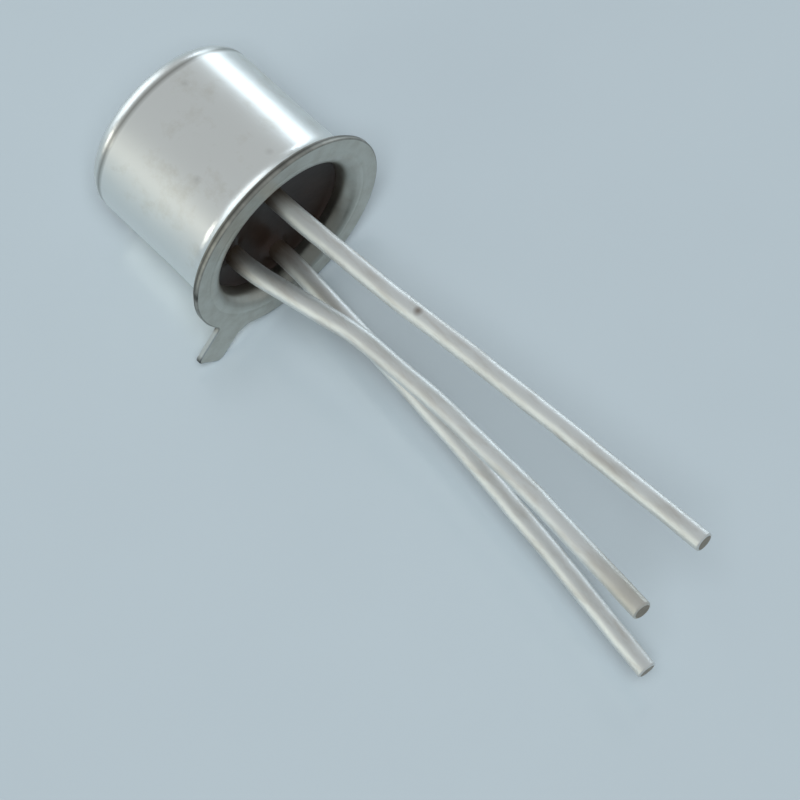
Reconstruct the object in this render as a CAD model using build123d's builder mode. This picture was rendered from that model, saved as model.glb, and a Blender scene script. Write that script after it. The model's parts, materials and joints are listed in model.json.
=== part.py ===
from build123d import *
import math
import os

# A unijunction transistor in a three-lead metal can, lying on its side as it comes to rest.
# All sizes are in millimetres.
#
# The transistor has its own axis, from the underside of the flange (the seating plane) up
# through the can. Heights are measured along that axis, and angles round it from the tab,
# anticlockwise as seen from the can's top.

# ---- Driving dimensions ---------------------------------------------------------------

# Drawn nickel can, welded by its flange to the header
can_diameter = 4.75
can_height = 4.42              # seating plane to the flat top
can_wall = 0.15
can_top_radius = 0.5           # outside of the rounded top edge
can_flange_width = 0.365       # beyond the can's wall
can_flange_thickness = 0.09
can_root_fillet = 0.25         # wall into flange, outside

# Stamped header: an eyelet with a flange, an index tab and a platform inside the can
flange_margin = 0.06           # how far its flange shows past the can's
flange_thickness = 0.13
tab_length = 1.05              # beyond the flange's rim
tab_width = 0.92
tab_tip_radius = 0.14
tab_low_root_fillet = 0.42     # where the tab's side nearer the floor meets the rim
tab_high_root_fillet = 0.14    # the same on its other side
header_wall = 0.15
header_bevel = 0.1             # upper side of the bend between flange and wall
header_clearance = 0.15        # between the header's wall and the can's bore
header_height = 1.25           # seating plane to the top of the platform
opening_radius = 0.36          # rounded edge of the opening in the underside

# Glass that fills the eyelet and insulates two of the leads
glass_recess = 0.75            # seating plane to the glass in the middle of the opening
glass_climb = 0.35             # how far the glass creeps down the eyelet's wall
glass_ring = 0.2               # glass between a lead and the platform

# Three round leads, solder dipped
lead_diameter = 0.49
lead_circle_diameter = 2.54
lead_length = 12.78            # from the seating plane
lead_end_chamfer = 0.04
post_height = 0.35             # of the two insulated leads, above the platform
head_diameter = 0.72           # flattened top of a post, where the bond wire is welded
head_thickness = 0.12

# Silicon die and its connections
die_size = 0.56
die_thickness = 0.15
preform_size = 0.68
preform_thickness = 0.04
bond_wire_diameter = 0.04
bond_ball_diameter = 0.1       # where the wire starts, on the die
bond_ball_height = 0.03
bond_loop_height = 0.3         # over the post

# Places round the axis, in degrees from the tab
emitter_angle = 45
base_1_angle = 135
base_2_angle = -45

# The leads are bent a little by handling, first where they leave the glass. At each of these
# depths below the seating plane, and at its end, a lead's centre has wandered this far from
# its straight line, along the tab and across it.
bend_depths = (3.2, 5.8, 9.0)
emitter_drift = ((-0.6, -0.15), (-0.75, -0.1), (-0.8, 0.1), (-0.7, 0.45))
base_1_drift = ((-0.15, -0.05), (-0.35, -0.15), (-0.55, -0.25), (-0.75, -0.35))
base_2_drift = ((0.2, 0), (0.5, -0.1), (0.95, -0.2), (1.6, -0.35))
bend_reach = 0.5               # length of lead that each bend takes up, either side of it

# ---- Sizes that follow -----------------------------------------------------------------

can_radius = can_diameter / 2
can_bore_radius = can_radius - can_wall
can_flange_radius = can_radius + can_flange_width
inside_corner = can_top_radius - can_wall
mouth_bevel = header_bevel + header_clearance
weld_height = flange_thickness
can_flange_top = weld_height + can_flange_thickness

flange_radius = can_flange_radius + flange_margin
tab_tip = flange_radius + tab_length
header_radius = can_bore_radius - header_clearance
eyelet_radius = header_radius - header_wall
platform_underside = header_height - header_wall
opening_flat_radius = eyelet_radius + opening_radius
flange_middle_radius = (opening_flat_radius + flange_radius) / 2

lead_radius = lead_diameter / 2
lead_circle_radius = lead_circle_diameter / 2
platform_hole_radius = lead_radius + glass_ring
glass_edge = glass_recess - glass_climb
first_bend_depth = bend_reach - glass_edge
post_top = header_height + post_height
die_seat = header_height + preform_thickness
die_top = die_seat + die_thickness


def around(radius, angle):
    """A point at this radius and this angle from the tab."""
    turn = math.radians(angle)
    return (radius * math.cos(turn), radius * math.sin(turn))


def lead_points(angle, drift, top):
    """The points that a lead's centre line runs through, from its top to its free end."""
    x, y = around(lead_circle_radius, angle)
    depths = (*bend_depths, lead_length)
    below = [(x + dx, y + dy, -depth) for depth, (dx, dy) in zip(depths, drift)]
    return [(x, y, top), (x, y, -first_bend_depth)] + below


emitter_points = lead_points(emitter_angle, emitter_drift, post_top)
base_1_points = lead_points(base_1_angle, base_1_drift, post_top)
base_2_points = lead_points(base_2_angle, base_2_drift, platform_underside)

# ---- Lying pose ------------------------------------------------------------------------

# The can rolls until three things touch the floor: the can's rounded top edge, the flange's
# rim and one rounded corner of the tab. The can's flange stays just clear of it.

# Tip of the axis: the top edge and the rim are level when
# (flange - can + top radius) cos(tip) - (can height - top radius - flange) sin(tip) = top radius
rim_lead = flange_radius - can_radius + can_top_radius
rim_span = can_height - can_top_radius - flange_thickness
rim_reach = math.hypot(rim_lead, rim_span)
axis_tip = math.acos(can_top_radius / rim_reach) - math.atan2(rim_span, rim_lead)

# Roll about the axis: the tab's corner is level with the rim
corner_along = tab_tip - tab_tip_radius
corner_across = tab_width / 2 - tab_tip_radius
corner_reach = math.hypot(corner_along, corner_across)
corner_angle = math.atan2(corner_across, corner_along)
roll = corner_angle + math.acos((flange_radius - tab_tip_radius) / corner_reach)

# Directions of the axis and of the tab, in the lying frame. The leads point along +X.
can_direction = Vector(-math.cos(axis_tip), 0, -math.sin(axis_tip))
down_the_flange = Vector(math.sin(axis_tip), 0, -math.cos(axis_tip))
across_the_flange = can_direction.cross(down_the_flange)
tab_direction = down_the_flange * math.cos(roll) + across_the_flange * math.sin(roll)
side_direction = can_direction.cross(tab_direction)

# Height of the seating plane's centre over the floor, and the offsets that put the middle
# of the whole part's box over the origin
seat_height = flange_radius * math.cos(axis_tip) + flange_thickness * math.sin(axis_tip)
reach_behind = (
    (can_height - can_top_radius) * math.cos(axis_tip)
    + (can_radius - can_top_radius) * math.sin(axis_tip)
    + can_top_radius
)
lying_x = Vector(tab_direction.X, side_direction.X, can_direction.X)
reach_ahead = max(
    Vector(*points[-1]).dot(lying_x) for points in (emitter_points, base_1_points, base_2_points)
)
reach_of_tab = corner_along * math.sin(roll) + corner_across * math.cos(roll) + tab_tip_radius
seat_centre = Vector(
    (reach_behind - reach_ahead) / 2,
    (reach_of_tab - flange_radius) / 2,
    seat_height,
)

# The seating plane faces along the can, and the section plane holds the axis and the tab
seat = Plane(origin=seat_centre, x_dir=tab_direction, z_dir=can_direction)
section = Plane(origin=seat_centre, x_dir=tab_direction, z_dir=-side_direction)
axis = Axis(seat_centre, can_direction)

# ---- Can -------------------------------------------------------------------------------

# One drawn cup with a rounded top and a flange turned out at its mouth. Inside, the corner
# of the top and the bend at the mouth are plain bevels.
with BuildPart() as can:
    with BuildSketch(section):
        with BuildLine():
            FilletPolyline(
                (0, can_height - can_wall),
                (can_bore_radius - inside_corner, can_height - can_wall),
                (can_bore_radius, can_height - can_top_radius),
                (can_bore_radius, weld_height + mouth_bevel),
                (can_bore_radius + mouth_bevel, weld_height),
                (can_flange_radius, weld_height),
                (can_flange_radius, can_flange_top),
                (can_radius, can_flange_top),
                (can_radius, can_height),
                (0, can_height),
                radius=(0, 0, 0, 0, 0, 0, 0, can_root_fillet, can_top_radius, 0),
                close=True,
            )
        make_face()
    revolve(axis=axis)
can.part.label = "can"

# ---- Header ----------------------------------------------------------------------------

# The eyelet is drawn from the same sheet as the flange and the tab, and closed at its inner
# end by the platform. The opening's edge is rounded where the sheet turns into the eyelet.
insulated_leads = [around(lead_circle_radius, angle) for angle in (emitter_angle, base_1_angle)]

with BuildPart() as header:
    with BuildSketch(section):
        with BuildLine():
            FilletPolyline(
                (0, platform_underside),
                (eyelet_radius, platform_underside),
                (eyelet_radius, 0),
                (flange_middle_radius, 0),
                (flange_middle_radius, flange_thickness),
                (header_radius + header_bevel, flange_thickness),
                (header_radius, flange_thickness + header_bevel),
                (header_radius, header_height),
                (0, header_height),
                radius=(0, 0, opening_radius, 0, 0, 0, 0, 0, 0),
                close=True,
            )
        make_face()
    revolve(axis=axis)
    with BuildSketch(seat):
        Circle(flange_radius)
        with Locations((flange_radius, 0)):
            Rectangle(2 * tab_length, tab_width)
        fillet(vertices().sort_by(Axis.X)[-2:], tab_tip_radius)
        low_root, high_root = vertices().group_by(Axis.X)[0].sort_by(Axis.Y)
        fillet(low_root, tab_low_root_fillet)
        fillet(high_root, tab_high_root_fillet)
        Circle(flange_middle_radius, mode=Mode.SUBTRACT)
    extrude(amount=flange_thickness)
    with BuildSketch(seat.offset(platform_underside)):
        with Locations(*insulated_leads):
            Circle(platform_hole_radius)
    extrude(amount=header_wall, mode=Mode.SUBTRACT)
header.part.label = "header"

# ---- Glass seal ------------------------------------------------------------------------

# Dark glass fused into the eyelet. It creeps down the eyelet's wall, so its open face is
# hollow, and it rises through the platform round the two insulated leads.
all_leads = insulated_leads + [around(lead_circle_radius, base_2_angle)]

with BuildPart() as glass_seal:
    with BuildSketch(section):
        with BuildLine():
            Polyline(
                (0, glass_recess),
                (0, platform_underside),
                (eyelet_radius, platform_underside),
                (eyelet_radius, glass_edge),
            )
            TangentArc((0, glass_recess), (eyelet_radius, glass_edge), tangent=(1, 0))
        make_face()
    revolve(axis=axis)
    with BuildSketch(seat.offset(platform_underside)):
        with Locations(*insulated_leads):
            Circle(platform_hole_radius)
    extrude(amount=header_wall)
    with BuildSketch(seat):
        with Locations(*all_leads):
            Circle(lead_radius)
    extrude(amount=header_height, mode=Mode.SUBTRACT)
glass_seal.part.label = "glass_seal"

# ---- Leads -----------------------------------------------------------------------------


def bend_radii(points):
    """Radii that make every bend take up the same length of lead, however far it turns."""
    corners = [Vector(*point) for point in points]
    runs = [after - before for before, after in zip(corners, corners[1:])]
    turns = [math.radians(run.get_angle(after)) for run, after in zip(runs, runs[1:])]
    return [bend_reach / math.tan(turn / 2) for turn in turns]


def lead(label, points, headed):
    """A round lead along these points, its free end chamfered, with or without a head."""
    with BuildPart() as wire:
        with BuildLine(seat) as route:
            FilletPolyline(*points, radius=bend_radii(points))
        with BuildSketch(Plane(origin=route.line @ 0, z_dir=route.line % 0)):
            Circle(lead_radius)
        sweep(path=route.line)
        free_end = edges().filter_by(GeomType.CIRCLE).sort_by(axis)[0]
        chamfer(free_end, lead_end_chamfer)
        if headed:
            with BuildSketch(seat.offset(post_top - head_thickness)):
                with Locations(points[0][:2]):
                    Circle(head_diameter / 2)
            extrude(amount=head_thickness)
    wire.part.label = label
    return wire.part


# The emitter and base 1 leads stand in the glass as posts, with heads for their bond wires.
# The base 2 lead is welded to the underside of the platform, so the can carries base 2.
lead_emitter = lead("lead_emitter", emitter_points, headed=True)
lead_base_1 = lead("lead_base_1", base_1_points, headed=True)
lead_base_2 = lead("lead_base_2", base_2_points, headed=False)

# ---- Die -------------------------------------------------------------------------------

# A square silicon die on a gold preform, in the middle of the platform
with BuildPart() as die_attach:
    with BuildSketch(seat.offset(header_height)):
        Rectangle(preform_size, preform_size)
    extrude(amount=preform_thickness)
die_attach.part.label = "die_attach"

with BuildPart() as die:
    with BuildSketch(seat.offset(die_seat)):
        Rectangle(die_size, die_size)
    extrude(amount=die_thickness)
die.part.label = "die"

# ---- Bond wires ------------------------------------------------------------------------


def bond_wire(label, angle):
    """A gold wire that loops from a ball on the die to the head of the post at this angle."""
    pad_x, pad_y = around(die_size / 4, angle)
    head_x, head_y = around(lead_circle_radius - head_diameter / 4, angle)
    near_x, near_y = around(die_size / 4 + bond_loop_height / 4, angle)
    far_x, far_y = around(lead_circle_radius - head_diameter / 2 - bond_loop_height / 2, angle)
    loop_top = post_top + bond_loop_height
    with BuildPart() as wire:
        with BuildSketch(seat.offset(die_top)):
            with Locations((pad_x, pad_y)):
                Circle(bond_ball_diameter / 2)
        extrude(amount=bond_ball_height)
        with BuildLine(seat) as loop:
            Polyline(
                (pad_x, pad_y, die_top + bond_ball_height / 2),
                (near_x, near_y, loop_top),
                (far_x, far_y, loop_top),
                (head_x, head_y, post_top),
            )
        with BuildSketch(Plane(origin=loop.line @ 0, z_dir=loop.line % 0)):
            Circle(bond_wire_diameter / 2)
        sweep(path=loop.line, transition=Transition.RIGHT)
    wire.part.label = label
    return wire.part


bond_wire_emitter = bond_wire("bond_wire_emitter", emitter_angle)
bond_wire_base_1 = bond_wire("bond_wire_base_1", base_1_angle)

# ---- Files -----------------------------------------------------------------------------

pieces = (
    header.part,
    glass_seal.part,
    lead_emitter,
    lead_base_1,
    lead_base_2,
    die_attach.part,
    die.part,
    bond_wire_emitter,
    bond_wire_base_1,
    can.part,
)
os.makedirs("parts", exist_ok=True)
for piece in pieces:
    export_step(piece, f"parts/{piece.label}.step")
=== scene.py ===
import json
import math

import bpy
import numpy as np
from mathutils import Matrix, Vector


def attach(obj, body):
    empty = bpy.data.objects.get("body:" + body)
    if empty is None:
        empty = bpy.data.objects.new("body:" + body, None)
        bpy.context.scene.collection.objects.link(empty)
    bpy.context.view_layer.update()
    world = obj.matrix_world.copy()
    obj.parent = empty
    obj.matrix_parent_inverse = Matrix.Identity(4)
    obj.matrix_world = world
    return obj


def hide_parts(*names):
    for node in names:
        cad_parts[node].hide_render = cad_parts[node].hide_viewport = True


# A unijunction transistor in a three-lead metal can, lying on its side.
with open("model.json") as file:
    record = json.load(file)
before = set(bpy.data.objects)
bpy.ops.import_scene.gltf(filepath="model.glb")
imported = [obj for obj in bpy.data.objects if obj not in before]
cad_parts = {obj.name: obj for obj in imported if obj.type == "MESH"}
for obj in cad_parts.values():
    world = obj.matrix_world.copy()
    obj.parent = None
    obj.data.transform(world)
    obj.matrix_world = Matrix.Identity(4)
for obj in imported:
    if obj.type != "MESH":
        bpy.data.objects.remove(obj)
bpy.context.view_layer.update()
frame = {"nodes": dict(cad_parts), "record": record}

# ---- Header ---------------------------------------------------------------------------
# The header is the transistor's base: an eyelet with a flange and an index tab, stamped and
# drawn from iron-nickel-cobalt sheet and plated with matte nickel. Its platform closes the
# eyelet inside the can, and two leads pass through the platform's holes.

# Sizes are in millimetres in the transistor's own frame: x along the tab, y to its side and
# z up the can from the seating plane.
can_height = 4.419
flange_radius = 2.799
flange_thickness = 0.13
flange_edge = 0.035
flange_burr = 0.02
tab_tip = 3.85
tab_half = 0.46
tab_corner_near = 0.14
tab_corner_far = 0.2
tab_root_near = 0.14
tab_root_far = 0.42
header_radius = 2.075
header_bevel = 0.1
eyelet_radius = 1.925
opening_radius = 0.36
platform_underside = 1.1
header_height = 1.25
header_shoulder = 0.1
rim_sides = 420

# Circles reach this far over and under the flange, and its own outline takes over from there
circles_over = 2.5
circles_under = 2.6
# A shallow groove in the underside, left by the stamping tool
groove_radius = 2.36
groove_width = 0.035
groove_depth = 0.01
# The radius of the first and last ring, and how close to a bend the next ring stands, which
# keeps the face beside the bend flat
header_first_ring = 0.4
ring_gap = 0.01

mm_in_a_metre = 1000
mounts = {mount["name"]: mount for mount in frame["record"]["mounts"]}
can_direction = np.array(mounts["can_top"]["axis"], float)
can_direction /= np.linalg.norm(can_direction)
seat_centre = (np.array(mounts["can_top"]["pos_m"])
               - can_direction * can_height / mm_in_a_metre)
side_direction = np.array(mounts["seating_face"]["pos_m"]) - seat_centre
side_direction -= can_direction * (side_direction @ can_direction)
side_direction /= np.linalg.norm(side_direction)
tab_direction = np.cross(side_direction, can_direction)
own_axes = np.stack([tab_direction, side_direction, can_direction])


def lying(points):
    """Own-frame millimetres to where the part lies: the seat's centre plus x, y and z times
    the directions of the tab, the side and the can, in metres."""
    return seat_centre + points @ own_axes / mm_in_a_metre


def arc(centre, radius, start, end, count):
    """A count of points on a circle: centre plus radius times (cos a, sin a), with a going
    evenly from start to end degrees."""
    a = np.radians(np.linspace(start, end, count))
    return np.stack([centre[0] + radius * np.cos(a), centre[1] + radius * np.sin(a)], 1)


def steps(start, end, count):
    """A count of evenly spaced points on the straight line between two, both included."""
    share = np.linspace(0, 1, count)[:, None]
    return np.array(start) * (1 - share) + np.array(end) * share


def shell(rings, crown, foot):
    """Vertices and faces of a closed surface: a grid of rings, each joined to the next and
    round to its own start, with its first ring drawn to the crown point and its last to the
    foot. Seen from outside, a ring runs anticlockwise when the crown is above."""
    ring_count, around_count = rings.shape[:2]
    index = np.arange(ring_count * around_count).reshape(ring_count, around_count)
    beside = np.roll(index, -1, 1)
    quads = np.stack([index[:-1], index[1:], beside[1:], beside[:-1]], -1).reshape(-1, 4)
    crown_index = ring_count * around_count
    top = np.stack([np.full(around_count, crown_index), index[0], beside[0]], 1)
    bottom = np.stack([np.full(around_count, crown_index + 1), beside[-1], index[-1]], 1)
    vertices = np.concatenate([rings.reshape(-1, 3), [crown], [foot]])
    return vertices, quads.tolist() + top.tolist() + bottom.tolist()


def make_piece(name, shells, nodes):
    """One smooth mesh of one or more closed surfaces, set where the part lies, that rides on
    the root body and stands for the CAD nodes."""
    vertices, faces = [], []
    for shell_vertices, shell_faces in shells:
        base = sum(len(v) for v in vertices)
        faces += [[base + i for i in face] for face in shell_faces]
        vertices.append(shell_vertices)
    mesh = bpy.data.meshes.new(name)
    mesh.from_pydata(lying(np.concatenate(vertices)).tolist(), [], faces)
    mesh.shade_smooth()
    piece = bpy.data.objects.new(name, mesh)
    bpy.context.scene.collection.objects.link(piece)
    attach(piece, "root")
    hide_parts(*nodes)
    return piece


def flange_outline():
    """The outline of flange and tab, and the unit normals into the metal. It runs along the
    tab's tip, round a corner, down its side, through the root's hollow and round the rim,
    and back the same way, so each stretch is a line or an arc tangent to its neighbours."""
    def tab_side(corner, root):
        root_x = math.sqrt((flange_radius + root) ** 2 - (tab_half + root) ** 2)
        rim_angle = math.degrees(math.atan2(tab_half + root, root_x))
        return np.concatenate([
            arc((tab_tip - corner, tab_half - corner), corner, 0, 90, 14),
            steps((tab_tip - corner, tab_half), (root_x, tab_half), 26)[1:-1],
            arc((root_x, tab_half + root), root, -90, rim_angle - 180, 22),
        ]), rim_angle
    near, near_angle = tab_side(tab_corner_near, tab_root_near)
    far, far_angle = tab_side(tab_corner_far, tab_root_far)
    rim = arc((0, 0), flange_radius, near_angle, 360 - far_angle, rim_sides)[1:-1]
    back = (far * (1, -1))[::-1]
    tip = steps(back[-1], near[0], 16)[1:-1]
    points = np.concatenate([near, rim, back, tip])
    along = np.roll(points, -1, 0) - np.roll(points, 1, 0)
    along /= np.linalg.norm(along, axis=1)[:, None]
    return points, np.stack([-along[:, 1], along[:, 0]], 1)


def header_rings():
    """Rings from the middle of the platform's top, over the shoulder, down the wall, out
    along the flange's upper face, round its edge, in along the underside, round the opening
    and up the eyelet. Each is a share of the way from a circle to the outline, which may be
    drawn in by an inset, at one height. The groove's depth falls off from its middle by the
    exponential of the square of the distance. The last two results are the rings between
    which the sheared edge lies."""
    outline, inward = flange_outline()
    polar_angle = np.unwrap(np.arctan2(outline[:, 1], outline[:, 0]))
    circle = np.stack([np.cos(polar_angle), np.sin(polar_angle)], 1)
    shoulder = arc((header_radius - header_shoulder, header_height - header_shoulder),
                   header_shoulder, 90, 0, 9)
    mouth = eyelet_radius + opening_radius
    opening = arc((mouth, opening_radius), opening_radius, 270, 180, 24)
    bevel_foot = header_radius + header_bevel
    inner = np.concatenate([
        steps((header_first_ring, header_height),
              (header_radius - header_shoulder - ring_gap, header_height), 6),
        shoulder,
        steps((header_radius, header_height - header_shoulder - ring_gap),
              (header_radius, flange_thickness + header_bevel), 6),
        [(bevel_foot, flange_thickness)],
        steps((bevel_foot + ring_gap, flange_thickness), (circles_over, flange_thickness), 4),
    ])
    upper_edge = arc((flange_burr, flange_thickness - flange_burr), flange_burr, 90, 180, 6)
    lower_edge = arc((flange_edge, flange_edge), flange_edge, 180, 270, 9)
    edge = np.concatenate([[(flange_burr + ring_gap, flange_thickness)],
                           upper_edge, lower_edge, [(flange_edge + ring_gap, 0)]])
    under = np.linspace(circles_under, mouth + ring_gap, 36)
    groove = groove_depth * np.exp(-(((under - groove_radius) / groove_width) ** 2))
    outer = np.concatenate([
        np.stack([under, groove], 1),
        opening,
        steps((eyelet_radius, opening_radius + ring_gap),
              (eyelet_radius, platform_underside - ring_gap), 8),
        [(eyelet_radius, platform_underside)],
        steps((eyelet_radius - ring_gap, platform_underside),
              (header_first_ring, platform_underside), 5),
    ])
    radius = np.concatenate([inner[:, 0], np.zeros(len(edge)), outer[:, 0]])
    height = np.concatenate([inner[:, 1], edge[:, 1], outer[:, 1]])
    inset = np.concatenate([np.zeros(len(inner)), edge[:, 0], np.zeros(len(outer))])
    share = np.concatenate([np.zeros(len(inner)), np.ones(len(edge)), np.zeros(len(outer))])
    flat = share[:, None, None] * (outline + inset[:, None, None] * inward)
    flat = flat + (1 - share)[:, None, None] * radius[:, None, None] * circle
    rings = np.concatenate(
        [flat, np.broadcast_to(height[:, None, None], flat.shape[:2] + (1,))], 2)
    return rings, len(inner) + 1, len(inner) + len(edge) - 2


def paint_rings(piece, around_count, first, last):
    """Gives the piece's second material to the faces between two of its rings."""
    index = np.zeros(len(piece.data.polygons), np.int32)
    index[first * around_count:last * around_count] = 1
    piece.data.polygons.foreach_set("material_index", index)


header_grid, edge_first, edge_last = header_rings()
header = make_piece(
    "header", [shell(header_grid, (0, 0, header_height), (0, 0, platform_underside))],
    ["header"])


def to_linear(code):
    """An sRGB hex colour as linear red, green and blue, with an alpha of 1."""
    value = np.array([int(code[i:i + 2], 16) for i in (1, 3, 5)]) / 255
    linear = np.where(value <= 0.04045, value / 12.92, ((value + 0.055) / 1.055) ** 2.4)
    return (*linear.tolist(), 1)


def add(tree, kind, settings=(), links=()):
    """Adds a node, sets its properties or its sockets' values, and joins other nodes'
    outputs to its inputs. A socket goes by its name or its number."""
    node = tree.nodes.new(kind)
    for name, value in dict(settings).items():
        if isinstance(name, str) and hasattr(node, name):
            setattr(node, name, value)
        else:
            node.inputs[name].default_value = value
    for name, output in dict(links).items():
        tree.links.new(output, node.inputs[name])
    return node


def start_material(name, surface):
    """A new material with a Principled surface, whose socket values are given by name, and
    a coordinate in own-frame millimetres for its patterns."""
    material = bpy.data.materials.new(name)
    material.use_nodes = True
    tree = material.node_tree
    tree.nodes.clear()
    shader = add(tree, "ShaderNodeBsdfPrincipled", surface)
    add(tree, "ShaderNodeOutputMaterial", links={"Surface": shader.outputs["BSDF"]})
    place = add(tree, "ShaderNodeTexCoord").outputs["Object"]
    spot = add(tree, "ShaderNodeMapping", {
        "Location": tuple(own_axes @ seat_centre * -mm_in_a_metre),
        "Rotation": tuple(Matrix(own_axes.tolist()).to_euler()),
        "Scale": (mm_in_a_metre,) * 3}, {"Vector": place}).outputs["Vector"]
    return material, tree, shader, spot


def round_mark(tree, spot, place, core, reach, strength):
    """How strongly a round mark shows: at full strength up to its core's radius, and falling
    evenly from there to nothing at its reach."""
    apart = add(tree, "ShaderNodeVectorMath", {"operation": "DISTANCE", 1: place},
                {0: spot}).outputs["Value"]
    return add(tree, "ShaderNodeMapRange",
               {"From Min": core, "From Max": reach, "To Min": strength, "To Max": 0},
               {"Value": apart}).outputs["Result"]


def off_axis(tree, spot):
    """A spot's distance from the can's axis: the length of its x and y."""
    flat = add(tree, "ShaderNodeVectorMath", {"operation": "MULTIPLY", 1: (1, 1, 0)},
               {0: spot})
    return add(tree, "ShaderNodeVectorMath", {"operation": "LENGTH"},
               {0: flat.outputs[0]}).outputs["Value"]


def off_height(tree, spot, height):
    """A spot's distance above or below a height up the can."""
    up = add(tree, "ShaderNodeSeparateXYZ", {}, {"Vector": spot}).outputs["Z"]
    gap = add(tree, "ShaderNodeMath", {"operation": "SUBTRACT", 1: height}, {0: up}).outputs[0]
    return add(tree, "ShaderNodeMath", {"operation": "ABSOLUTE"}, {0: gap}).outputs[0]


# Matte nickel over stamped sheet: a soft grey that spreads reflections, with the tool's
# turning rings 0.09 mm apart, plating in patches of half a millimetre and a 0.04 mm grain.
# A Mix node's sockets 6 and 7 are its two colours, and its output 2 is the mixed colour.
matte_nickel, tree, shader, spot = start_material("matte_nickel", {"Metallic": 1})
mottle = add(tree, "ShaderNodeTexNoise", {"Scale": 2.2, "Detail": 5, "Roughness": 0.6},
             {"Vector": spot}).outputs["Fac"]
tool_rings = add(tree, "ShaderNodeTexWave", {
    "wave_type": "RINGS", "rings_direction": "Z", "Scale": 3.4, "Distortion": 1.2,
    "Detail": 2, "Detail Scale": 1.5}, {"Vector": spot}).outputs["Fac"]
grain = add(tree, "ShaderNodeTexNoise", {"Scale": 26, "Detail": 3}, {"Vector": spot})
tarnish = add(tree, "ShaderNodeMapRange", {"From Min": 0.42, "From Max": 0.68, "To Max": 0.55},
              {"Value": mottle}).outputs["Result"]
plated = add(tree, "ShaderNodeMix", {
    "data_type": "RGBA", 6: to_linear("#c0c0b8"), 7: to_linear("#aaa69b")},
    {0: tarnish}).outputs[2]
# Painted shade darkens the opening's lip on one side of the base 2 lead, in the leads' shadow
on_lip = add(tree, "ShaderNodeMapRange",
             {"From Min": 2.12, "From Max": 2.34, "To Min": 0.65, "To Max": 0},
             {"Value": off_axis(tree, spot)}).outputs["Result"]
painted_lip_shade = add(tree, "ShaderNodeMath", {"operation": "MULTIPLY"},
            {0: on_lip, 1: round_mark(tree, spot, (0.65, -1.97, 0.1), 1.1, 1.9, 1)})
plated = add(tree, "ShaderNodeMix", {"data_type": "RGBA", 7: to_linear("#5f605a")},
             {0: painted_lip_shade.outputs[0], 6: plated}).outputs[2]
tree.links.new(plated, shader.inputs["Base Color"])
rough = add(tree, "ShaderNodeMapRange", {"To Min": 0.3, "To Max": 0.42}, {"Value": mottle})
tree.links.new(rough.outputs["Result"], shader.inputs["Roughness"])
ring_bump = add(tree, "ShaderNodeBump", {"Strength": 0.25, "Distance": 0.000004},
                {"Height": tool_rings})
grain_bump = add(tree, "ShaderNodeBump", {"Strength": 0.4, "Distance": 0.000006},
                 {"Height": grain.outputs["Fac"], "Normal": ring_bump.outputs["Normal"]})
tree.links.new(grain_bump.outputs["Normal"], shader.inputs["Normal"])
header.data.materials.append(matte_nickel)

# The sheared edge of the sheet has hardly any plating: dull, brownish grey, and torn every
# third of a millimetre. The tab's edge is cleaner than the rim's.
sheared_edge, tree, shader, spot = start_material("sheared_edge", {"Metallic": 1})
tear_place = add(tree, "ShaderNodeMapping", {"Scale": (1, 1, 0.2)}, {"Vector": spot})
tear = add(tree, "ShaderNodeTexNoise", {"Scale": 3, "Detail": 5, "Roughness": 0.6},
           {"Vector": tear_place.outputs["Vector"]}).outputs["Fac"]
torn = add(tree, "ShaderNodeMapRange", {"From Min": 0.35, "From Max": 0.65},
           {"Value": tear}).outputs["Result"]
torn_metal = add(tree, "ShaderNodeMix", {
    "data_type": "RGBA", 6: to_linear("#8f8f89"), 7: to_linear("#aaa9a2")},
    {0: torn}).outputs[2]
on_rim = add(tree, "ShaderNodeMapRange",
             {"From Min": 2.85, "From Max": 3.0, "To Min": 1, "To Max": 0},
             {"Value": off_axis(tree, spot)}).outputs["Result"]
edge_metal = add(tree, "ShaderNodeMix", {"data_type": "RGBA", 6: to_linear("#b4bbbd")},
                 {0: on_rim, 7: torn_metal}).outputs[2]
# Painted shade, with some dirt, darkens the seam where the can's flange lies on the header's,
# for the shade of the narrow gap between them. Dirt lies in a smudge on the rim beside the
# tab, and a dark spot lies on the tab's corner
seam = add(tree, "ShaderNodeMapRange",
           {"From Min": 0.01, "From Max": 0.075, "To Min": 0.9, "To Max": 0},
           {"Value": off_height(tree, spot, flange_thickness)}).outputs["Result"]
dirt_and_shade = add(tree, "ShaderNodeMath", {"operation": "MULTIPLY"}, {0: seam, 1: on_rim}).outputs[0]
for place in ((1.685, 2.236, 0.08), (3.84, 0.42, 0.03)):
    dark_spot = round_mark(tree, spot, place, 0.07, 0.22, 0.85)
    dirt_and_shade = add(tree, "ShaderNodeMath", {"operation": "MAXIMUM"},
               {0: dirt_and_shade, 1: dark_spot}).outputs[0]
edge_metal = add(tree, "ShaderNodeMix", {"data_type": "RGBA", 7: to_linear("#3f3e39")},
                 {0: dirt_and_shade, 6: edge_metal}).outputs[2]
tree.links.new(edge_metal, shader.inputs["Base Color"])
rough = add(tree, "ShaderNodeMapRange", {"To Min": 0.42, "To Max": 0.56}, {"Value": tear})
tree.links.new(rough.outputs["Result"], shader.inputs["Roughness"])
header.data.materials.append(sheared_edge)
paint_rings(header, header_grid.shape[1], edge_first, edge_last)

# ---- Glass seal -----------------------------------------------------------------------
# Dark brown sealing glass fills the eyelet and insulates two of the leads. It was fused
# in place, so its open face is hollow and it creeps down the wall and along each lead.

glass_recess = 0.75
glass_climb = 0.22
lead_radius = 0.245
collar_height = 0.14
collar_width = 0.1
wall_creep = 0.04
wall_creep_width = 0.06
platform_hole_radius = 0.445
lead_circle_radius = 1.27
emitter_angle, base_1_angle, base_2_angle = 45, 135, -45
glass_sides = 240
sleeve_sides = 64
glass_first_ring = 0.3
glass_last_ring = 0.02


def around(radius, angle):
    """The point at a radius and at an angle in degrees from the tab."""
    return np.array([radius * math.cos(math.radians(angle)),
                     radius * math.sin(math.radians(angle))])


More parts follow.
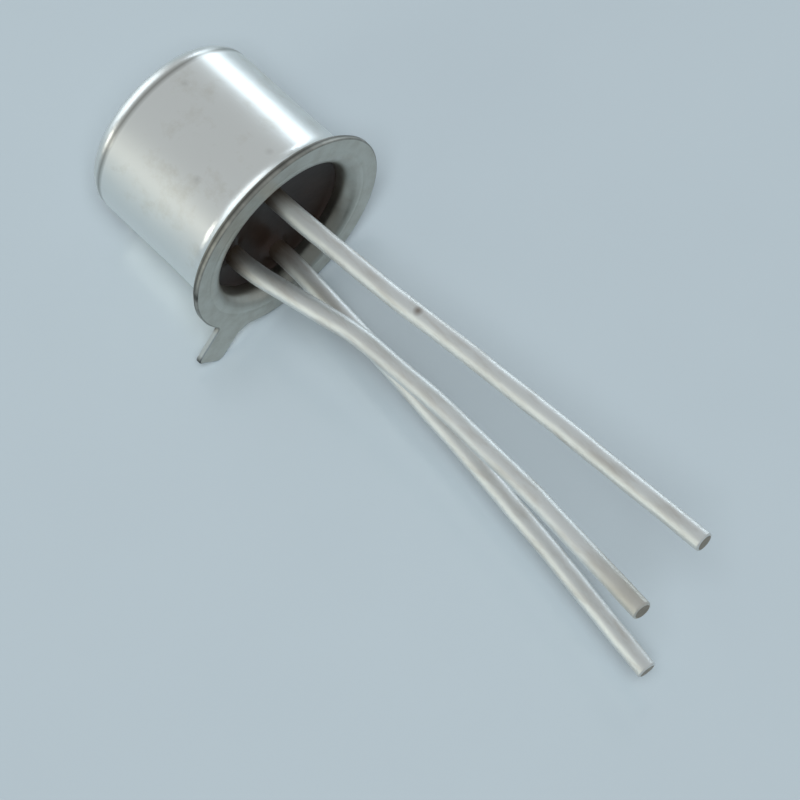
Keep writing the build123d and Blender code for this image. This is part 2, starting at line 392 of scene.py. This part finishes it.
def glass_face(x, y):
    """Height of the open face: highest in the middle and lower at the wall by a square law,
    with a collar down each lead, and a creep down the wall, that fall off exponentially."""
    height = glass_recess - glass_climb * (x ** 2 + y ** 2) / eyelet_radius ** 2
    for angle in (emitter_angle, base_1_angle, base_2_angle):
        lead_x, lead_y = around(lead_circle_radius, angle)
        gap = np.hypot(x - lead_x, y - lead_y) - lead_radius
        height = height - collar_height * np.exp(-np.maximum(gap, 0) / collar_width)
    wall_gap = eyelet_radius - np.hypot(x, y)
    return height - wall_creep * np.exp(-np.maximum(wall_gap, 0) / wall_creep_width)


def glass_rings():
    """Rings from the top of the glass, which meets the platform, down the wall and inwards
    over the open face. Each is a share of the way from the platform to the face's height."""
    across_count, down_count, back_count = 5, 5, 129
    angle = np.linspace(0, 2 * math.pi, glass_sides, endpoint=False)
    radius = np.concatenate([
        np.linspace(glass_first_ring, eyelet_radius, across_count),
        np.full(down_count, eyelet_radius),
        np.linspace(eyelet_radius, glass_last_ring, back_count + 1)[1:]])
    x, y = radius[:, None] * np.cos(angle), radius[:, None] * np.sin(angle)
    face = glass_face(x, y)
    share = np.concatenate([np.zeros(across_count), np.linspace(0.1, 1, down_count),
                            np.ones(back_count)])[:, None]
    return np.stack([x, y, platform_underside * (1 - share) + face * share], 2)


def sleeve_rings(angle):
    """Rings of the sleeve of glass that fills one of the platform's holes round its lead:
    a short cylinder."""
    centre = around(lead_circle_radius, angle)
    turn = np.linspace(0, 2 * math.pi, sleeve_sides, endpoint=False)
    radius = np.array([glass_first_ring, platform_hole_radius, platform_hole_radius,
                       glass_first_ring])[:, None]
    height = np.array([header_height, header_height, platform_underside,
                       platform_underside])[:, None]
    x, y = centre[0] + radius * np.cos(turn), centre[1] + radius * np.sin(turn)
    return np.stack([x, y, np.broadcast_to(height, x.shape)], 2)


sleeves = [
    shell(sleeve_rings(angle), (*around(lead_circle_radius, angle), header_height),
          (*around(lead_circle_radius, angle), platform_underside))
    for angle in (emitter_angle, base_1_angle)]
glass_seal = make_piece(
    "glass_seal",
    [shell(glass_rings(), (0, 0, platform_underside), (0, 0, glass_face(0, 0)))] + sleeves,
    ["glass_seal"])

# Fused borosilicate sealing glass: nearly black with a weak, soft gloss, browner in patches of
# 0.6 mm, and dimpled every third of a millimetre by bubbles.
sealing_glass, tree, shader, spot = start_material(
    "sealing_glass", {"IOR": 1.5, "Roughness": 0.3, "Specular IOR Level": 0.2})
cloud = add(tree, "ShaderNodeTexNoise", {"Scale": 1.6, "Detail": 4}, {"Vector": spot})
browned = add(tree, "ShaderNodeMix", {
    "data_type": "RGBA", 6: to_linear("#17100d"), 7: to_linear("#30231c")},
    {0: cloud.outputs["Fac"]})
tree.links.new(browned.outputs[2], shader.inputs["Base Color"])
dimples = add(tree, "ShaderNodeTexNoise", {"Scale": 3, "Detail": 2}, {"Vector": spot})
glass_bump = add(tree, "ShaderNodeBump", {"Strength": 0.4, "Distance": 0.00002},
                 {"Height": dimples.outputs["Fac"]})
tree.links.new(glass_bump.outputs["Normal"], shader.inputs["Normal"])
glass_seal.data.materials.append(sealing_glass)

# ---- Leads ----------------------------------------------------------------------------
# Three round wires of the header's own alloy, dipped in solder. Two stand in the glass as
# posts with flattened heads for the bond wires, and the third, base 2, is welded to the
# underside of the platform. Handling has bent them a little, and each was cut to length.

lead_length = 12.78
post_top = 1.6
head_radius = 0.36
head_thickness = 0.12
head_edge = 0.02
end_round = 0.05
lead_sides = 56
lead_rings = 620
bend_depths = (0.1, 3.2, 5.8, 9.0, lead_length)
bend_reach = 0.5
# How far each lead's centre has wandered along x and y at those depths
drifts = {
    "lead_emitter": (emitter_angle, ((0, 0), (-0.6, -0.15), (-0.75, -0.1), (-0.8, 0.1),
                                     (-0.7, 0.45))),
    "lead_base_1": (base_1_angle, ((0, 0), (-0.15, -0.05), (-0.35, -0.15), (-0.55, -0.25),
                                   (-0.75, -0.35))),
    "lead_base_2": (base_2_angle, ((0, 0), (0.2, 0), (0.5, -0.1), (0.95, -0.2),
                                   (1.6, -0.35))),
}
# The solder's ripples: length along the lead, share of its radius, and lobes round it. They
# rise from just inside the opening and fade out before the cut end.
ripples = ((3.1, 0.014, 1), (1.7, 0.01, 2), (0.9, 0.006, 1), (0.5, 0.002, 3))
ripple_start = 0.4
ripple_rise = 0.6
ripple_fade = 0.12
first_seed = 5


def lead_line(angle, drift, depths):
    """Centre of a lead at each depth below the seating plane. The drift between bends is in
    proportion to depth, and each bend is spread out by averaging over its reach."""
    window_count = 61
    window = np.linspace(-bend_reach, bend_reach, window_count)
    spread = depths[:, None] + window
    beyond = np.maximum(spread - bend_depths[-1], 0)
    start = around(lead_circle_radius, angle)
    columns = []
    for axis in (0, 1):
        wander = np.array([step[axis] for step in drift], float)
        slope = (wander[-1] - wander[-2]) / (bend_depths[-1] - bend_depths[-2])
        offset = np.interp(spread, bend_depths, wander) + beyond * slope
        columns.append(start[axis] + offset.mean(1))
    return np.stack([*columns, -depths], 1)


def tube_rings(line, radii, ripple):
    """Rings round a line: each point plus its radius times cos a and sin a along two
    directions square to the line, with the coat's ripple added to the radius."""
    along = np.gradient(line, axis=0)
    along /= np.linalg.norm(along, axis=1)[:, None]
    across = np.array([1.0, 0, 0]) - along * along[:, :1]
    across /= np.linalg.norm(across, axis=1)[:, None]
    over = np.cross(along, across)
    turn = -np.linspace(0, 2 * math.pi, ripple.shape[1], endpoint=False)[None, :, None]
    radius = (radii[:, None] * (1 + ripple))[:, :, None]
    outwards = np.cos(turn) * across[:, None] + np.sin(turn) * over[:, None]
    return line[:, None] + radius * outwards


def make_lead(name, angle, drift, seed, headed):
    """A lead as one tube from its top to its rounded, cut end. The solder's ripple is a sum
    of waves along and round the lead, with phases drawn from the seed."""
    top = post_top if headed else platform_underside
    body = np.linspace(-top + head_edge, lead_length - end_round, lead_rings)
    end = arc((lead_length - end_round, 0), end_round, 90, 8, 8)
    depths = np.concatenate([body, end[1:, 0], [lead_length]])
    radii = np.concatenate([np.full(lead_rings, lead_radius),
                            lead_radius - end_round + end[1:, 1],
                            [lead_radius - end_round]])
    if headed:
        neck = head_thickness - top
        head_depths = np.array([-top, -top + head_edge, neck - head_edge, neck])
        head_radii = np.array([head_radius - head_edge, head_radius, head_radius,
                               head_radius - head_edge])
        keep = depths > neck + ring_gap
        depths = np.concatenate([head_depths, depths[keep]])
        radii = np.concatenate([head_radii, radii[keep]])
    else:
        depths = np.concatenate([[-top], depths])
        radii = np.concatenate([[lead_radius], radii])
    draw = np.random.default_rng(seed)
    turn = np.linspace(0, 2 * math.pi, lead_sides, endpoint=False)
    ripple = np.zeros((len(depths), len(turn)))
    for length, size, lobes in ripples:
        first, second = draw.uniform(0, 2 * math.pi, 2)
        wave = np.sin(depths * 2 * math.pi / length + first)
        ripple += size * wave[:, None] * np.cos(lobes * turn + second)
    fade = (np.clip((depths + ripple_start) / ripple_rise, 0, 1)
            * np.clip((lead_length - depths) / ripple_fade, 0, 1))
    line = lead_line(angle, drift, depths)
    rings = tube_rings(line, radii, ripple * fade[:, None])
    return make_piece(name, [shell(rings, line[0], line[-1])], [name])


# Solder-dipped wire: bright and silvery, a little wavy, pitted every fifth of a millimetre,
# and with duller streaks 0.3 mm wide and 1.3 mm long where the solder has oxidised.
solder_coat, tree, shader, spot = start_material("solder_coat", {"Metallic": 1})
streak_place = add(tree, "ShaderNodeMapping", {"Scale": (2.4, 2.4, 0.5)}, {"Vector": spot})
streaks = add(tree, "ShaderNodeTexNoise", {"Scale": 1.5, "Detail": 5, "Roughness": 0.6},
              {"Vector": streak_place.outputs["Vector"]}).outputs["Fac"]
dull = add(tree, "ShaderNodeMapRange", {"From Min": 0.45, "From Max": 0.72, "To Max": 0.8},
           {"Value": streaks}).outputs["Result"]
coated = add(tree, "ShaderNodeMix", {
    "data_type": "RGBA", 6: to_linear("#e6e8e6"), 7: to_linear("#cbc7bf")},
    {0: dull}).outputs[2]
# A scorched speck on the base 1 lead, and a greyer colour on the end of the emitter lead
for place, core, reach, colour in (((-1.29, 0.99, -4.26), 0.03, 0.14, "#85766a"),
                                   ((0.2, 1.35, -12.8), 0.7, 1.9, "#cfcbc1")):
    coated = add(tree, "ShaderNodeMix", {"data_type": "RGBA", 7: to_linear(colour)},
                 {0: round_mark(tree, spot, place, core, reach, 0.75), 6: coated}).outputs[2]
# From just inside the opening inwards the leads turn a dark brownish grey, starting raggedly
inwards = add(tree, "ShaderNodeSeparateXYZ", {}, {"Vector": spot}).outputs["Z"]
inwards = add(tree, "ShaderNodeMath", {"operation": "MULTIPLY_ADD", 1: 0.5, 2: 0},
              {0: streaks, 2: inwards}).outputs[0]
inner_dark = add(tree, "ShaderNodeMapRange", {"From Min": -0.05, "From Max": 0.65},
           {"Value": inwards}).outputs["Result"]
coated = add(tree, "ShaderNodeMix", {"data_type": "RGBA", 7: to_linear("#8a7a6c")},
             {0: inner_dark, 6: coated}).outputs[2]
tree.links.new(coated, shader.inputs["Base Color"])
rough = add(tree, "ShaderNodeMapRange", {"To Min": 0.46, "To Max": 0.6}, {"Value": streaks})
tree.links.new(rough.outputs["Result"], shader.inputs["Roughness"])
pits = add(tree, "ShaderNodeTexNoise", {"Scale": 5, "Detail": 3}, {"Vector": spot})
pit_bump = add(tree, "ShaderNodeBump", {"Strength": 0.3, "Distance": 0.000008},
               {"Height": pits.outputs["Fac"]})
tree.links.new(pit_bump.outputs["Normal"], shader.inputs["Normal"])


def two_toned(name, surface, scale, detail, first, second):
    """A material whose colour drifts between two, in patches of one over the scale in
    millimetres."""
    material, tree, shader, spot = start_material(name, surface)
    patches = add(tree, "ShaderNodeTexNoise", {"Scale": scale, "Detail": detail},
                  {"Vector": spot}).outputs["Fac"]
    colour = add(tree, "ShaderNodeMix", {
        "data_type": "RGBA", 6: to_linear(first), 7: to_linear(second)}, {0: patches})
    tree.links.new(colour.outputs[2], shader.inputs["Base Color"])
    return material


# The bare alloy of the cut ends: brownish, and dragged by the cutters every tenth of a
# millimetre.
cut_alloy = two_toned("cut_alloy", {"Metallic": 1, "Roughness": 0.5}, 12, 3,
                      "#857a70", "#b0a696")

for seed, (name, (angle, drift)) in enumerate(drifts.items(), first_seed):
    piece = make_lead(name, angle, drift, seed, headed=name != "lead_base_2")
    piece.data.materials.append(solder_coat)
    piece.data.materials.append(cut_alloy)
    ring_total = len(piece.data.polygons) // lead_sides
    paint_rings(piece, lead_sides, ring_total - 1, ring_total)

# ---- Die, preform and bond wires ------------------------------------------------------
# A silicon die is brazed to the platform with a gold preform, and gold wires run from its
# top to the two posts. The can hides them all.

# Plain gold, drawn or fused, has a soft and slightly uneven gloss. Polished silicon is darker
# and glossier.
gold = two_toned("plain_gold", {"Metallic": 1, "Roughness": 0.24}, 8, 2, "#e0b25c", "#f0cc7c")
silicon = two_toned("polished_silicon", {"Metallic": 0.6, "Roughness": 0.18}, 5, 2,
                    "#4a4f5c", "#5d6470")

for name, finish in (("die_attach", gold), ("bond_wire_emitter", gold),
                     ("bond_wire_base_1", gold), ("die", silicon)):
    for material_slot in frame["nodes"][name].material_slots:
        material_slot.material = finish

# ---- Can ------------------------------------------------------------------------------
# The can is one deep-drawn cup of nickel with a rounded top. Its mouth is turned out into a
# flange, which was resistance welded to the header's flange.

can_radius = 2.375
can_wall = 0.15
can_top_radius = 0.5
can_flange_radius = 2.74
can_flange_thickness = 0.09
can_edge = 0.03
# The foot, where the wall turns out into the flange, is part of an ellipse
foot_width = 0.3
foot_height = 0.42
foot_start, foot_end = 183, 268
mouth_bevel = 0.25
flare = 0.03
flare_height = 1.3
# Height and spread of the die's groove round the top's edge, and of the dark line painted
# there as a reflection
groove_and_dark_line_height = 3.95
die_mark_depth = 0.004
groove_and_dark_line_spread = 0.058
can_sides = 320
top_rings = 60
wall_rings = 60
can_first_ring = 0.25
top_gap = 0.02


def can_rings():
    """Rings of a profile turned about the can's axis: out over the top, down the wall, out
    along the flange, back in below it and up the inside. The wall leans out towards the foot
    by a square law, and the die's mark is a groove that falls off from its middle by the
    exponential of the square of the distance. The last two results are the rings between
    which the sheared edge lies."""
    bore = can_radius - can_wall
    under, over = flange_thickness, flange_thickness + can_flange_thickness
    inside = can_top_radius - can_wall
    root = over + foot_height
    wall_heights = np.linspace(can_height - can_top_radius - top_gap, root + ring_gap,
                               wall_rings)
    lean = np.clip((root + flare_height - wall_heights) / flare_height, 0, 1)
    wall = np.stack([can_radius + flare * lean ** 2, wall_heights], 1)
    corner = arc((can_radius - can_top_radius, can_height - can_top_radius), can_top_radius,
                 90, 0, top_rings)
    corner[:, 0] -= die_mark_depth * np.exp(
        -(((corner[:, 1] - groove_and_dark_line_height) / groove_and_dark_line_spread) ** 2))
    outside = np.concatenate([
        steps((can_first_ring, can_height),
              (can_radius - can_top_radius - top_gap, can_height), 8),
        corner,
        wall,
        (can_radius + flare + foot_width, root)
        + arc((0, 0), 1, foot_start, foot_end, 26) * (foot_width, foot_height),
    ])
    edge = np.concatenate([
        arc((can_flange_radius - can_edge, over - can_edge), can_edge, 90, 0, 8),
        arc((can_flange_radius - can_edge, under + can_edge), can_edge, 0, -90, 8),
    ])
    profile = np.concatenate([
        outside,
        edge,
        steps((can_flange_radius - can_edge - ring_gap, under),
              (bore + mouth_bevel, under), 5),
        steps((bore, under + mouth_bevel),
              (bore, can_height - can_top_radius - ring_gap), 12),
        arc((bore - inside, can_height - can_top_radius), inside, 0, 90, 12),
        steps((bore - inside - ring_gap, can_height - can_wall),
              (can_first_ring, can_height - can_wall), 5),
    ])
    turn = np.linspace(0, 2 * math.pi, can_sides, endpoint=False)
    radius, height = profile[:, :1], profile[:, 1:]
    x, y = radius * np.cos(turn), radius * np.sin(turn)
    rings = np.stack([x, y, np.broadcast_to(height, x.shape)], 2)
    return rings, len(outside) + 2, len(outside) + len(edge) - 1


can_grid, edge_first, edge_last = can_rings()
can = make_piece("can", [shell(can_grid, (0, 0, can_height), (0, 0, can_height - can_wall))],
                 ["can"])

# Bright drawn nickel: smooth and softly mirror-like, with pale brown stains in patches of a
# millimetre and faint drawing lines up the wall, 0.08 mm apart.
drawn_nickel, tree, shader, spot = start_material("drawn_nickel", {"Metallic": 1})
stain = add(tree, "ShaderNodeTexNoise", {"Scale": 0.9, "Detail": 6, "Roughness": 0.65},
            {"Vector": spot}).outputs["Fac"]
stained = add(tree, "ShaderNodeMapRange", {"From Min": 0.52, "From Max": 0.74, "To Max": 0.5},
              {"Value": stain}).outputs["Result"]
bright = add(tree, "ShaderNodeMix", {
    "data_type": "RGBA", 6: to_linear("#eaece9"), 7: to_linear("#c4beae")},
    {0: stained}).outputs[2]
# Three small rub marks
for place in ((-0.575, 2.304, 1.54), (-1.897, 1.429, 0.78), (-1.792, 1.558, 3.5)):
    bright = add(tree, "ShaderNodeMix", {"data_type": "RGBA", 7: to_linear("#8f8a80")},
                 {0: round_mark(tree, spot, place, 0.02, 0.13, 0.2), 6: bright}).outputs[2]
# A dark line is painted round the can where its rounded top begins: a painted reflection of
# the dark floor in the top's rounded edge
painted_dark_line = add(tree, "ShaderNodeMapRange",
             {"From Min": 0, "From Max": 2 * groove_and_dark_line_spread, "To Min": 0.75, "To Max": 0},
             {"Value": off_height(tree, spot, groove_and_dark_line_height)}).outputs["Result"]
bright = add(tree, "ShaderNodeMix", {"data_type": "RGBA", 7: to_linear("#85847e")},
             {0: painted_dark_line, 6: bright}).outputs[2]
tree.links.new(bright, shader.inputs["Base Color"])
line_place = add(tree, "ShaderNodeMapping", {"Scale": (9, 9, 0.35)}, {"Vector": spot})
lines = add(tree, "ShaderNodeTexNoise", {"Scale": 1.4, "Detail": 4},
            {"Vector": line_place.outputs["Vector"]}).outputs["Fac"]
rough = add(tree, "ShaderNodeMapRange", {"To Min": 0.28, "To Max": 0.38}, {"Value": stain})
tree.links.new(rough.outputs["Result"], shader.inputs["Roughness"])
line_bump = add(tree, "ShaderNodeBump", {"Strength": 0.25, "Distance": 0.000004},
                {"Height": lines})
tree.links.new(line_bump.outputs["Normal"], shader.inputs["Normal"])
can.data.materials.append(drawn_nickel)
can.data.materials.append(sheared_edge)
paint_rings(can, can_sides, edge_first, edge_last)

# ---- Floor ----------------------------------------------------------------------------
# A plain sheet of pale blue-grey card, glazed on its upper side. The transistor only lies on
# it, so it is no part of the object.

floor_reach = 1.2
floor_mesh = bpy.data.meshes.new("floor")
corners = np.array([(-1, -1, 0), (1, -1, 0), (1, 1, 0), (-1, 1, 0)]) * floor_reach
floor_mesh.from_pydata(corners.tolist(), [], [(0, 1, 2, 3)])
floor = bpy.data.objects.new("floor", floor_mesh)
bpy.context.scene.collection.objects.link(floor)

# Glazed card: nearly even in colour, with patches of 4 mm that hardly show, and with a sheen
# at low angles.
card = two_toned("glazed_card", {"Roughness": 0.25, "IOR": 1.5, "Coat Weight": 1,
                                 "Coat IOR": 1.8, "Coat Roughness": 0.18}, 0.25, 3,
                 "#b4c0c6", "#b7c3c9")
floor_mesh.materials.append(card)

# ---- Light ----------------------------------------------------------------------------
# An even pale surround, with four low softboxes that draw bright lines on metal. The last and
# highest one lights the floor and gives the object its soft shadow, and metal doesn't show it.

softboxes = (
    # heading in degrees; height above the floor, distance, width and tall side in metres;
    # brightness, colour, and whether metal and glass show it
    (114, 0.024, 0.32, 0.28, 0.048, 3.0, "#e4f3ff", True),
    (184, 0.066, 0.32, 0.25, 0.132, 1.25, "#eef8ff", True),
    (261, 0.110, 0.32, 0.13, 0.220, 1.5, "#fbfff0", True),
    (224, 0.016, 0.32, 0.08, 0.032, 5.0, "#fffdf2", True),
    (320, 0.760, 0.25, 0.30, 0.30, 18.2, "#f6fbff", False),
)
for number, softbox in enumerate(softboxes):
    heading, lamp_height, distance, width, tall, brightness, colour, shown = softbox
    lamp = bpy.data.lights.new(f"softbox_{number}", "AREA")
    lamp.shape = "RECTANGLE"
    lamp.size, lamp.size_y = width, tall
    lamp.color = to_linear(colour)[:3]
    lamp.energy = brightness * math.pi * width * tall
    lamp_object = bpy.data.objects.new(f"softbox_{number}", lamp)
    turn = math.radians(heading)
    place = Vector((math.cos(turn) * distance, math.sin(turn) * distance, lamp_height))
    lamp_object.location = place
    lamp_object.rotation_euler = (-place).to_track_quat("-Z", "Y").to_euler()
    lamp_object.visible_camera = False
    lamp_object.visible_glossy = shown
    bpy.context.scene.collection.objects.link(lamp_object)

# The surround is pale where metal, glass or the camera shows it, and lights everything
# else a little more softly, so the floor keeps the object's shadow.
world = bpy.data.worlds.new("surround")
world.use_nodes = True
surround = world.node_tree.nodes["Background"]
surround.inputs["Color"].default_value = to_linear("#f3f8fb")
rays = add(world.node_tree, "ShaderNodeLightPath", {})
seen = add(world.node_tree, "ShaderNodeMath", {"operation": "MAXIMUM"},
           {0: rays.outputs["Is Camera Ray"], 1: rays.outputs["Is Glossy Ray"]})
seen = add(world.node_tree, "ShaderNodeMath", {"operation": "MAXIMUM"},
           {0: seen.outputs[0], 1: rays.outputs["Is Transmission Ray"]})
strength = add(world.node_tree, "ShaderNodeMapRange", {"To Min": 0.25, "To Max": 0.55},
               {"Value": seen.outputs[0]})
world.node_tree.links.new(strength.outputs["Result"], surround.inputs["Strength"])
bpy.context.scene.world = world

# ---- Camera ---------------------------------------------------------------------------
# A long lens looks steeply down from behind the leads. Its distance and what it aims at are
# in metres.

camera_heading = math.radians(49.67)
camera_rise = math.radians(69.57)
camera_roll = math.radians(-3.13)
camera_distance = 0.095
focal_length = 185.2
aim = Vector((0.000168, -0.000412, 0.001428))

lens = bpy.data.cameras.new("camera")
lens.sensor_width = 36
lens.lens = focal_length
lens.clip_start, lens.clip_end = 0.005, 10
camera = bpy.data.objects.new("camera", lens)
back = Vector((math.sin(camera_heading) * math.cos(camera_rise),
               -math.cos(camera_heading) * math.cos(camera_rise), math.sin(camera_rise)))
camera.location = aim + back * camera_distance
upright = (-back).to_track_quat("-Z", "Y")
roll = Matrix.Rotation(camera_roll, 3, "Z").to_quaternion()
camera.rotation_euler = (upright @ roll).to_euler()
bpy.context.scene.collection.objects.link(camera)
bpy.context.scene.camera = camera
bpy.context.scene.view_settings.view_transform = "Standard"
